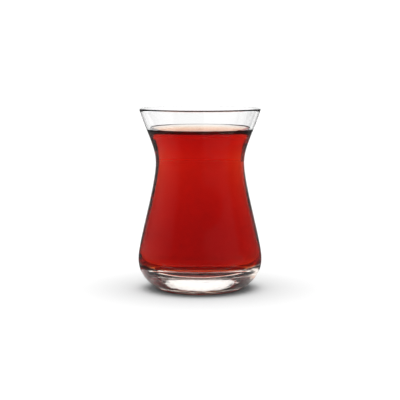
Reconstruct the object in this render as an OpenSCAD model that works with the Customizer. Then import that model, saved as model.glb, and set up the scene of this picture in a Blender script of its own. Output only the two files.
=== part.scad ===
// Waisted tea glass, filled with tea.
// Millimetres, +Z up. The origin is the centre of the foot, on the table.

/* [Glass outline] */
// Height from the table to the top of the lip
glass_h = 88; // [76:0.5:105]
// Outer diameter of the mouth
mouth_d = 59; // [50:0.5:71]
// Outer diameter of the waist
waist_d = 43.2; // [36:0.2:50]
// Height of the waist above the table
waist_z = 61.8; // [50:0.2:66]
// Outer diameter of the belly
belly_d = 60.2; // [52:0.2:72]
// Height of the belly above the table
belly_z = 14.7; // [12:0.1:18]
// Outer diameter of the ring that stands on the table
foot_d = 37; // [30:0.5:44]

/* [Glass wall] */
// Wall thickness at the lip, whose edge is a full round
lip_t = 1.3; // [1:0.1:2]
// Wall thickness at the waist
waist_t = 2.1; // [1:0.1:2.5]
// Wall thickness where the cavity is widest
belly_t = 2.2; // [1.3:0.1:3]
// Height at which the cavity is widest
cavity_z = 18; // [16:0.5:23]
// Thickness of the glass under the middle of the tea
base_t = 9.2; // [6:0.1:11]
// Diameter of the flat middle of the cavity's floor
floor_d = 14; // [2:0.5:24]
// Width of the flat ring that stands on the table
foot_w = 2.2; // [1:0.1:4]
// Height of the shallow hollow under the base
kick_h = 1.5; // [0.6:0.1:3]

/* [Tea] */
// Distance from the top of the lip down to the flat top of the tea
headspace = 11.8; // [8:0.2:20]
// Capillary length of the tea, which sets how far its edge climbs the wall
capillary = 2.7; // [1.5:0.1:3.2]
// Slope of the tea's top where it meets the wall, in degrees
edge_slope = 45; // [20:1:66]
// Gap left between the tea and the wall
tea_gap = 0.05; // [0.02:0.01:0.2]

/* [Hidden] */
$fn = 96;

// Straight pieces in each curved stretch of an outline.
steps = 16;

// How far each end of a stretch keeps its own direction, as [share of the
// radial distance, share of the height] to the other end.
mouth_pull = [0.56, 0.51];
waist_pull_up = [0, 0.275];
waist_pull_down = [0, 0.24];
belly_pull_up = [0, 0.2];
heel_pull = [0, 0.7];
foot_pull = [0.21, 0];
bowl_pull_side = [0, 0.8];
bowl_pull_floor = [0.75, 0];

waist = [waist_d / 2, waist_z];
belly = [belly_d / 2, belly_z];
foot = [foot_d / 2, 0];

waist_in = waist - [waist_t, 0];
cavity = [belly_d / 2 - belly_t, cavity_z];
floor_edge = [floor_d / 2, base_t];
bowl = [0, base_t];

// The lip is a half circle on the end of the wall, which leans outwards there.
lip_r = lip_t / 2;
lip_mid = [mouth_d / 2 - lip_r, glass_h - lip_r];
lip_fall = lip_mid - (waist + waist_in) / 2;
lip_lean = atan2(mouth_pull[0] * lip_fall[0], mouth_pull[1] * lip_fall[1]);

level = glass_h - headspace;
tea_edge_z = level + climb(edge_slope);

function lip_point(a) = lip_mid + lip_r * [cos(a - lip_lean), sin(a - lip_lean)];

// The point at t, from 0 to 1, of the curve from a to b with pulls pa and pb.
function curve_at(a, b, pa, pb, t) =
    let (
        ha = a + [pa[0] * (b[0] - a[0]), pa[1] * (b[1] - a[1])],
        hb = b + [pb[0] * (a[0] - b[0]), pb[1] * (a[1] - b[1])],
        s = 1 - t
    )
    s^3 * a + 3 * s^2 * t * ha + 3 * s * t^2 * hb + t^3 * b;

// The curve from a to b, without its last point.
function stretch(a, b, pa, pb) =
    [for (i = [0 : steps - 1]) curve_at(a, b, pa, pb, i / steps)];

// Outer face, from the lip down to the outer edge of the foot.
function outer_face() = concat(
    stretch(lip_point(0), waist, mouth_pull, waist_pull_up),
    stretch(waist, belly, waist_pull_down, belly_pull_up),
    stretch(belly, foot, heel_pull, foot_pull),
    [foot]
);

// Inner face, from the lip down to the middle of the cavity's floor.
function inner_face() = concat(
    stretch(lip_point(180), waist_in, mouth_pull, waist_pull_up),
    stretch(waist_in, cavity, waist_pull_down, belly_pull_up),
    stretch(cavity, floor_edge, bowl_pull_side, bowl_pull_floor),
    [floor_edge, bowl]
);

// Rounded edge of the lip between those two faces, from the inner one.
function lip_round() = [for (i = [1 : steps - 1]) lip_point(180 * (1 - i / steps))];

// Underside of the base, from the inner edge of the foot to the middle.
function underside() =
    [for (i = [0 : steps])
        [(foot_d / 2 - foot_w) * (1 - i / steps), kick_h * sin(90 * i / steps)]];

function reversed(list) = [for (i = [len(list) - 1 : -1 : 0]) list[i]];

// Radius of the cavity at height z, above its widest place.
function cavity_radius(z) =
    lookup(z, [for (p = reversed(inner_face())) if (p[1] >= cavity_z) [p[1], p[0]]]);

// A liquid's edge against a wall: its height above the level, and its distance
// from where it would stand upright, both where its top slopes by a degrees.
function climb(a) = 2 * capillary * sin(a / 2);
function run_out(a) = -capillary * (ln(tan(a / 4)) + 2 * cos(a / 2));

// The tea's side and underside, from the middle of the underside up to its edge.
function tea_side() = concat(
    [for (p = reversed(inner_face())) if (p[1] < tea_edge_z - tea_gap)
        [max(0, p[0] - tea_gap), p[1] + tea_gap]],
    [[cavity_radius(tea_edge_z) - tea_gap, tea_edge_z]]
);

// The top of the tea, from just inside its edge to the middle.
function tea_top() =
    let (
        edge_r = cavity_radius(tea_edge_z) - tea_gap,
        slopes = [for (i = [1 : steps - 1]) edge_slope * (1 - i / steps)^1.5],
        reach = run_out(slopes[steps - 2]) - run_out(edge_slope)
    )
    concat(
        [for (a = slopes) [edge_r - run_out(a) + run_out(edge_slope), level + climb(a)]],
        [[edge_r - reach - capillary, level], [0, level]]
    );

module glass() {
    color([0.92, 0.95, 0.94, 0.35])
    rotate_extrude()
    polygon(concat(reversed(inner_face()), lip_round(), outer_face(), underside()));
}

module tea() {
    color([0.62, 0.07, 0.05])
    rotate_extrude()
    polygon(concat(tea_side(), tea_top()));
}

glass();
tea();
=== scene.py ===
"""A waisted tea glass filled with tea, on a plain white table in a soft studio."""
import math

import bpy
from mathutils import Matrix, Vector


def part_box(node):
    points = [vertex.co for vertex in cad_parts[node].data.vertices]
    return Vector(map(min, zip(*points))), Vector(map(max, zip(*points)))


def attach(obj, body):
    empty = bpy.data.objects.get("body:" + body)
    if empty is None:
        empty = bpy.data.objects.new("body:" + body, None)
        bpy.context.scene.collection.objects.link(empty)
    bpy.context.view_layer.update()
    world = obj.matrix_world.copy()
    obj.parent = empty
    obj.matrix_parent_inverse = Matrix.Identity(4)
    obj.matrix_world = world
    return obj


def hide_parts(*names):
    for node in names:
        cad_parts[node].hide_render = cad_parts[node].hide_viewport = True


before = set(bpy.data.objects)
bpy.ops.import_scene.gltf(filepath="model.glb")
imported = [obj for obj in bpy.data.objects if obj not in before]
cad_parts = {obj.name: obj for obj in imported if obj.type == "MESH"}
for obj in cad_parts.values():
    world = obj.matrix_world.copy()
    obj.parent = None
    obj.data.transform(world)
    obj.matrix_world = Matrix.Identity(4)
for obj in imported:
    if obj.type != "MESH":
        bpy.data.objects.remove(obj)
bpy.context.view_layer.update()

MM = 0.001

# ---------------------------------------------------------------- sizes, in metres
glass_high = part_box("glass")[1]
GLASS_H = glass_high[2]
BELLY_R = glass_high[0]
MOUTH_R = 29.5 * MM
WAIST = (21.6 * MM, 61.8 * MM)      # places on the outline are (radius, height)
BELLY = (BELLY_R, 14.7 * MM)
FOOT = (18.5 * MM, 0.0)
LIP_T = 1.3 * MM
WAIST_T = 2.1 * MM
BELLY_T = 2.2 * MM
FOOT_W = 2.2 * MM
KICK_H = 1.5 * MM
WAIST_IN = (WAIST[0] - WAIST_T, WAIST[1])
CAVITY = (BELLY_R - BELLY_T, 18.0 * MM)
FLOOR_EDGE = (7.0 * MM, 9.2 * MM)
BOWL = (0.0, FLOOR_EDGE[1])

LEVEL = GLASS_H - 11.8 * MM
CAPILLARY = 2.7 * MM
EDGE_SLOPE = 45                     # degrees
SOAK = 0.15 * MM                    # how far the tea reaches into the wall, so that no air shows

# How far each end of a stretch keeps its own direction, as shares of the radial distance and of
# the height to the other end.
MOUTH_PULL, WAIST_PULL_UP = (0.56, 0.51), (0, 0.275)
WAIST_PULL_DOWN, BELLY_PULL_UP = (0, 0.24), (0, 0.2)
HEEL_PULL, FOOT_PULL = (0, 0.7), (0.21, 0)
BOWL_SIDE_PULL, BOWL_FLOOR_PULL = (0, 0.8), (0.75, 0)

SEGMENTS = 160      # round the axis
STEPS = 40          # along each curved stretch of an outline
EDGE_STEPS = 24     # along the tea's curved edge
KICK_STEPS = 16     # across the hollow under the base
FLAT_STEPS = 4      # across the flat floor of the cavity
STILL_STEPS = 6     # across the flat top of the tea
LIP_TURN = 12       # degrees between points round the lip


# ---------------------------------------------------------------- outlines
def stretch(a, b, pull_a, pull_b):
    """Points of the curve from a to b, without b."""
    ha = [a[i] + pull_a[i] * (b[i] - a[i]) for i in (0, 1)]
    hb = [b[i] + pull_b[i] * (a[i] - b[i]) for i in (0, 1)]
    points = []
    for k in range(STEPS):
        t = k / STEPS
        s = 1 - t
        points.append(tuple(s ** 3 * a[i] + 3 * s * s * t * ha[i] + 3 * s * t * t * hb[i] + t ** 3 * b[i]
                            for i in (0, 1)))
    return points


LIP_R = LIP_T / 2
LIP_MID = (MOUTH_R - LIP_R, GLASS_H - LIP_R)
LIP_LEAN = math.atan2(MOUTH_PULL[0] * (LIP_MID[0] - WAIST[0] + WAIST_T / 2),
                      MOUTH_PULL[1] * (LIP_MID[1] - WAIST[1]))


def lip_point(angle):
    """Point on the half circle of the lip, from 0 on the outside to 180 degrees on the inside."""
    a = math.radians(angle) - LIP_LEAN
    return LIP_MID[0] + LIP_R * math.cos(a), LIP_MID[1] + LIP_R * math.sin(a)


outer_face = (stretch(lip_point(0), WAIST, MOUTH_PULL, WAIST_PULL_UP)
              + stretch(WAIST, BELLY, WAIST_PULL_DOWN, BELLY_PULL_UP)
              + stretch(BELLY, FOOT, HEEL_PULL, FOOT_PULL) + [FOOT])
inner_face = (stretch(lip_point(180), WAIST_IN, MOUTH_PULL, WAIST_PULL_UP)
              + stretch(WAIST_IN, CAVITY, WAIST_PULL_DOWN, BELLY_PULL_UP)
              + stretch(CAVITY, FLOOR_EDGE, BOWL_SIDE_PULL, BOWL_FLOOR_PULL)
              + [(FLOOR_EDGE[0] * (1 - k / FLAT_STEPS), FLOOR_EDGE[1]) for k in range(FLAT_STEPS)]
              + [BOWL])
lip_round = [lip_point(180 - LIP_TURN * k) for k in range(1, 180 // LIP_TURN)]
underside = [((FOOT[0] - FOOT_W) * (1 - k / KICK_STEPS), KICK_H * math.sin(math.pi / 2 * k / KICK_STEPS))
             for k in range(KICK_STEPS + 1)]
glass_outline = inner_face[::-1] + lip_round + outer_face + underside


def cavity_radius(z):
    """Radius of the cavity at height z, above its widest place."""
    for above, under in zip(inner_face, inner_face[1:]):
        if CAVITY[1] <= under[1] <= z <= above[1]:
            t = (z - under[1]) / (above[1] - under[1])
            return under[0] + t * (above[0] - under[0])


def climb(slope):
    """Height of the tea's edge above its level, where it slopes by that many degrees."""
    return 2 * CAPILLARY * math.sin(math.radians(slope) / 2)


def run_out(slope):
    """Distance of that place from where the tea's top would stand upright."""
    a = math.radians(slope)
    return -CAPILLARY * (math.log(math.tan(a / 4)) + 2 * math.cos(a / 2))


def soaked(k):
    """Point k of the inner face, moved SOAK into the glass."""
    before, after = inner_face[k - 1], inner_face[k + 1]
    along = Vector((after[0] - before[0], after[1] - before[1])).normalized()
    return inner_face[k][0] - along[1] * SOAK, inner_face[k][1] + along[0] * SOAK


EDGE_Z = LEVEL + climb(EDGE_SLOPE)
EDGE_R = cavity_radius(EDGE_Z)
SIDE_TOP = EDGE_Z - 0.2 * MM        # the last point of the tea's side stays under this
tea_side = [soaked(k) for k in range(1, len(inner_face) - 1) if inner_face[k][1] < SIDE_TOP]
tea_top = [(EDGE_R + SOAK, EDGE_Z + SOAK * math.tan(math.radians(EDGE_SLOPE)))]
for k in range(EDGE_STEPS):
    slope = EDGE_SLOPE * (1 - k / EDGE_STEPS) ** 1.5
    tea_top.append((EDGE_R - run_out(slope) + run_out(EDGE_SLOPE), LEVEL + climb(slope)))
still_r = tea_top[-1][0] - CAPILLARY
tea_top += [(still_r * (1 - k / STILL_STEPS), LEVEL) for k in range(STILL_STEPS + 1)]
tea_outline = [(0.0, BOWL[1] - SOAK)] + tea_side[::-1] + tea_top


# ---------------------------------------------------------------- turning
def turned(name, outline):
    """Spins an outline of (radius, height) points, which starts and ends on the axis, into a closed
    solid."""
    bpy.ops.object.select_all(action="DESELECT")
    bpy.ops.mesh.primitive_plane_add(size=10 * MM, location=(0, 0, 0))
    piece = bpy.context.object
    piece.name = piece.data.name = name
    bpy.ops.object.mode_set(mode="EDIT")
    bpy.ops.mesh.select_all(action="SELECT")
    bpy.ops.mesh.merge(type="CENTER")       # what is left is one point, which draws the outline
    bpy.ops.transform.translate(value=(outline[0][0], 0, outline[0][1]))
    for (r0, z0), (r1, z1) in zip(outline, outline[1:]):
        bpy.ops.mesh.extrude_vertices_move(TRANSFORM_OT_translate={"value": (r1 - r0, 0, z1 - z0)})
    bpy.ops.mesh.select_all(action="SELECT")
    bpy.ops.mesh.spin(steps=SEGMENTS, angle=2 * math.pi, center=(0, 0, 0), axis=(0, 0, 1))
    bpy.ops.mesh.select_all(action="SELECT")
    bpy.ops.mesh.remove_doubles(threshold=0.002 * MM)
    bpy.ops.mesh.normals_make_consistent(inside=False)
    bpy.ops.object.mode_set(mode="OBJECT")
    bpy.ops.object.shade_smooth()
    return piece


# ---------------------------------------------------------------- finishes
GLASS_IOR, TEA_IOR, FILM_IOR = 1.51, 1.333, 1.15
WET_MIRROR = 0.05                   # glass and tea barely mirror where they touch
TEA_LOSS = (22.5, 150.0, 265.0)     # share of red, green and blue light lost, per metre


def clear_finish(name, ior, mirror=1.0):
    """A new clear, polished material, with its nodes and links. Mirror is how much it reflects head
    on."""
    mat = bpy.data.materials.new(name)
    mat.use_nodes = True
    shader = mat.node_tree.nodes["Principled BSDF"]
    shader.inputs["Base Color"].default_value = (1, 1, 1, 1)
    shader.inputs["Roughness"].default_value = 0
    shader.inputs["IOR"].default_value = ior
    shader.inputs["Transmission Weight"].default_value = 1
    shader.inputs["Specular Tint"].default_value = (mirror, mirror, mirror, 1)
    return mat, mat.node_tree.nodes, mat.node_tree.links


def add_waves(nodes, links, size, depth, low, high):
    """Shallow waves about size across and depth deep, which fade in from height low to high, laid
    over any that the finish has already."""
    place = nodes.new("ShaderNodeTexCoord")
    noise = nodes.new("ShaderNodeTexNoise")
    noise.inputs["Scale"].default_value = 1 / size
    noise.inputs["Detail"].default_value = 1.5
    links.new(place.outputs["Object"], noise.inputs["Vector"])
    height = nodes.new("ShaderNodeSeparateXYZ")
    links.new(place.outputs["Object"], height.inputs["Vector"])
    fade = nodes.new("ShaderNodeMapRange")
    fade.inputs["From Min"].default_value = low
    fade.inputs["From Max"].default_value = high
    links.new(height.outputs["Z"], fade.inputs["Value"])
    faded = nodes.new("ShaderNodeMath")
    faded.operation = "MULTIPLY"
    links.new(noise.outputs["Fac"], faded.inputs[0])
    links.new(fade.outputs["Result"], faded.inputs[1])
    bump = nodes.new("ShaderNodeBump")
    bump.inputs["Distance"].default_value = depth
    links.new(faded.outputs["Value"], bump.inputs["Height"])
    normal = nodes["Principled BSDF"].inputs["Normal"]
    if normal.is_linked:
        links.new(normal.links[0].from_socket, bump.inputs["Normal"])
    links.new(bump.outputs["Normal"], normal)


def clear_glass(name, mirror=1.0):
    """Pressed glass: faint waves all over, and finer ones left by the mould near the foot."""
    mat, nodes, links = clear_finish(name, GLASS_IOR, mirror)
    add_waves(nodes, links, size=14 * MM, depth=0.02 * MM, low=-1 * MM, high=0)
    add_waves(nodes, links, size=2.6 * MM, depth=0.05 * MM, low=12 * MM, high=2 * MM)
    return mat


def red_tea():
    """Clear red tea, whose top is barely ruffled."""
    mat, nodes, links = clear_finish("red_tea", TEA_IOR, WET_MIRROR)
    add_waves(nodes, links, size=5 * MM, depth=0.02 * MM, low=LEVEL - 0.5 * MM, high=LEVEL)
    volume = nodes.new("ShaderNodeVolumeAbsorption")
    most = max(TEA_LOSS)
    volume.inputs["Color"].default_value = (*(1 - loss / most for loss in TEA_LOSS), 1)
    volume.inputs["Density"].default_value = most
    links.new(volume.outputs["Volume"], nodes["Material Output"].inputs["Volume"])
    return mat


def bubble_film():
    """A thin film of tea round air, which bends light a little and is barely uneven."""
    mat, nodes, links = clear_finish("bubble_film", FILM_IOR)
    add_waves(nodes, links, size=0.2 * MM, depth=0.01 * MM, low=LEVEL - MM, high=LEVEL)
    return mat


# ---------------------------------------------------------------- glass and tea
UPWARD = 0.5        # faces whose normals rise more than this are the cavity's floor

glass = turned("tea_glass", glass_outline)
glass.data.materials.append(clear_glass("clear_glass"))
glass.data.materials.append(clear_glass("wet_glass", WET_MIRROR))
for face in glass.data.polygons:
    middle = face.center
    inside = middle[0] * face.normal[0] + middle[1] * face.normal[1] < 0 or face.normal[2] > UPWARD
    face.material_index = int(inside and BOWL[1] - SOAK < middle[2] < EDGE_Z)
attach(glass, "root")
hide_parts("glass")

tea = turned("tea_fill", tea_outline)
tea.data.materials.append(red_tea())
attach(tea, "root")
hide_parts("tea")


# ---------------------------------------------------------------- bubbles
BUBBLE_R = EDGE_R - 0.9 * MM        # they float against the wall, on the tea's curved edge
BUBBLE_Z = LEVEL + 1.35 * MM
BUBBLE_FLAT = 0.8                   # height, as a share of the width
BUBBLES = [         # degrees from the front towards the right, size across in millimetres
    (1, 0.55), (3.5, 0.8), (5.5, 0.5), (8, 0.75), (10, 0.45), (25, 0.5), (27, 0.8), (30, 0.6),
    (34, 0.7), (37, 0.45), (39, 0.6), (143, 0.6), (146, 0.8), (151, 0.5), (214, 0.7), (217, 0.5),
]


def bubble(angle, across):
    turn = math.radians(angle)
    bpy.ops.object.select_all(action="DESELECT")
    bpy.ops.mesh.primitive_ico_sphere_add(
        subdivisions=3, radius=across / 2 * MM,
        location=(BUBBLE_R * math.sin(turn), -BUBBLE_R * math.cos(turn), BUBBLE_Z))
    made = bpy.context.object
    bpy.ops.object.mode_set(mode="EDIT")
    bpy.ops.mesh.select_all(action="SELECT")
    bpy.ops.transform.resize(value=(1, 1, BUBBLE_FLAT))
    bpy.ops.object.mode_set(mode="OBJECT")
    bpy.ops.object.transform_apply(location=True, rotation=False, scale=False)
    bpy.ops.object.shade_smooth()
    return made


bubbles = [bubble(*place) for place in BUBBLES]
for made in bubbles:
    made.select_set(True)
bpy.context.view_layer.objects.active = bubbles[0]
bpy.ops.object.join()
bubbles[0].name = bubbles[0].data.name = "tea_bubbles"
bubbles[0].data.materials.append(bubble_film())
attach(bubbles[0], "root")

# ---------------------------------------------------------------- studio
WORLD_LIGHT = 1.25
SOFT_LIGHTS = [("soft_room", 170, 1.7), ("soft_overhead", 60, 2.15)]     # degrees across, power
TABLE_R = 4.0
TABLE_WHITE = 0.92

scene = bpy.context.scene
scene.view_settings.view_transform = "Standard"
scene.view_settings.look = "None"
scene.cycles.caustics_reflective = False
scene.cycles.caustics_refractive = False
scene.cycles.max_bounces = 32
scene.cycles.transmission_bounces = 32
scene.cycles.glossy_bounces = 16
scene.cycles.diffuse_bounces = 2
scene.cycles.blur_glossy = 0
scene.cycles.use_denoising = True

# The white room shows in the glass and lights nothing else.
world = bpy.data.worlds.new("studio")
scene.world = world
world.use_nodes = True
background = world.node_tree.nodes["Background"]
background.inputs["Color"].default_value = (1, 1, 1, 1)
background.inputs["Strength"].default_value = WORLD_LIGHT
world.cycles_visibility.diffuse = False

# The table is lit from above by soft lights, which the glass itself doesn't show.
for name, angle, power in SOFT_LIGHTS:
    soft_data = bpy.data.lights.new(name, "SUN")
    soft_data.angle = math.radians(angle)
    soft_data.energy = power
    soft = bpy.data.objects.new(name, soft_data)
    scene.collection.objects.link(soft)
    soft.visible_glossy = soft.visible_transmission = False

bpy.ops.object.select_all(action="DESELECT")
bpy.ops.mesh.primitive_circle_add(vertices=64, radius=TABLE_R, fill_type="NGON", location=(0, 0, 0))
floor = bpy.context.object
floor.name = "floor"
white = bpy.data.materials.new("white_table")
white.use_nodes = True
matt = white.node_tree.nodes["Principled BSDF"]
matt.inputs["Base Color"].default_value = (TABLE_WHITE, TABLE_WHITE, TABLE_WHITE, 1)
matt.inputs["Roughness"].default_value = 1
matt.inputs["Specular IOR Level"].default_value = 0
floor.data.materials.append(white)

# ---------------------------------------------------------------- cards
# Dark cards stand round the glass and lie on the table. They give its edges their contrast, and
# light and shade nothing.
ROOM_R = 1.0
GLASS_MIDDLE = 45 * MM
CARD_LIFT = 0.4 * MM        # cards that lie on the table lie this far above it


def up(angle):
    """Height on the room's wall at that many degrees above the middle of the glass."""
    return GLASS_MIDDLE + math.tan(math.radians(angle)) * ROOM_R


def cloth(name, glow):
    """A material of one even grey."""
    mat = bpy.data.materials.new(name)
    mat.use_nodes = True
    nodes, links = mat.node_tree.nodes, mat.node_tree.links
    nodes.remove(nodes["Principled BSDF"])
    shine = nodes.new("ShaderNodeEmission")
    shine.inputs["Color"].default_value = (1, 1, 1, 1)
    shine.inputs["Strength"].default_value = glow
    links.new(shine.outputs["Emission"], nodes["Material Output"].inputs["Surface"])
    mat.cycles.emission_sampling = "NONE"
    return mat


def card(name, start, end, inner, low, high, finish, mirrored):
    """A card round the glass, from start to end degrees from the back towards the right. It lies on
    the table from radius inner out to the room's wall, and covers that wall from height low to high.
    It shows only mirrored in the glass, or only through it."""
    bpy.ops.object.select_all(action="DESELECT")
    bpy.ops.mesh.primitive_circle_add(vertices=180, radius=inner, fill_type="NOTHING",
                                      location=(0, 0, low))
    piece = bpy.context.object
    piece.name = piece.data.name = name
    bpy.ops.object.mode_set(mode="EDIT")
    bpy.ops.mesh.select_all(action="SELECT")
    if inner < ROOM_R:
        bpy.ops.mesh.extrude_edges_move()
        bpy.ops.transform.resize(value=(ROOM_R / inner, ROOM_R / inner, 1))
    bpy.ops.mesh.extrude_edges_move(TRANSFORM_OT_translate={"value": (0, 0, high - low)})
    bpy.ops.mesh.select_all(action="DESELECT")
    bpy.ops.object.mode_set(mode="OBJECT")
    bpy.ops.object.transform_apply(location=True, rotation=False, scale=False)
    for face in piece.data.polygons:
        turn = math.degrees(math.atan2(face.center[0], face.center[1]))
        face.select = (turn - start) % 360 > end - start
    bpy.ops.object.mode_set(mode="EDIT")
    bpy.ops.mesh.select_mode(type="FACE")
    bpy.ops.mesh.delete(type="FACE")
    bpy.ops.object.mode_set(mode="OBJECT")
    piece.data.materials.append(finish)
    piece.visible_camera = piece.visible_diffuse = piece.visible_shadow = False
    piece.visible_glossy = mirrored
    piece.visible_transmission = not mirrored


BACK = 40               # degrees that the back stays white on each side, seen through the glass
MIRROR_BACK = 20        # the same, mirrored in it
LEFT = (-122, -58)      # two more openings, for the views through the glass from the other sides
RIGHT = (100, 172)
NEAR, MIRROR_NEAR = 45 * MM, 50 * MM        # radius where the cards on the table start
TOP = up(32)
black_cloth = cloth("black_cloth", 0.03)
grey_cloth = cloth("grey_cloth", 0.1)
pale_cloth = cloth("pale_cloth", 0.35)
CARDS = [               # name, start, end, inner, low, high, finish, mirrored
    ("ceiling", 0, 360, ROOM_R, TOP, up(62), black_cloth, False),
    ("right", BACK, RIGHT[0], NEAR, CARD_LIFT, TOP, black_cloth, False),
    ("over_near_right", *RIGHT, ROOM_R, up(18), TOP, black_cloth, False),
    ("front", RIGHT[1], 360 + LEFT[0], NEAR, CARD_LIFT, TOP, black_cloth, False),
    ("over_left", *LEFT, ROOM_R, up(24), TOP, black_cloth, False),
    ("left_post", LEFT[1], -BACK, ROOM_R, CARD_LIFT, TOP, pale_cloth, False),
    ("mirrored_ceiling", 0, 360, ROOM_R, TOP, up(75), grey_cloth, True),
    ("mirrored_room", MIRROR_BACK, 360 - MIRROR_BACK, MIRROR_NEAR, CARD_LIFT, TOP, grey_cloth, True),
]
for place in CARDS:
    card(*place)

# ---------------------------------------------------------------- camera
CAMERA_AT = (0, -633.1 * MM, 113.0 * MM)
AIM_AT = (0, 0, 43.3 * MM)

camera_data = bpy.data.cameras.new("camera")
camera = bpy.data.objects.new("camera", camera_data)
scene.collection.objects.link(camera)
scene.camera = camera
camera_data.sensor_width = 36       # millimetres, like the lens
camera_data.lens = 117.53
camera_data.clip_start = 0.01
camera_data.clip_end = 20
camera.location = CAMERA_AT
camera.rotation_euler = (Vector(AIM_AT) - camera.location).to_track_quat("-Z", "Y").to_euler()
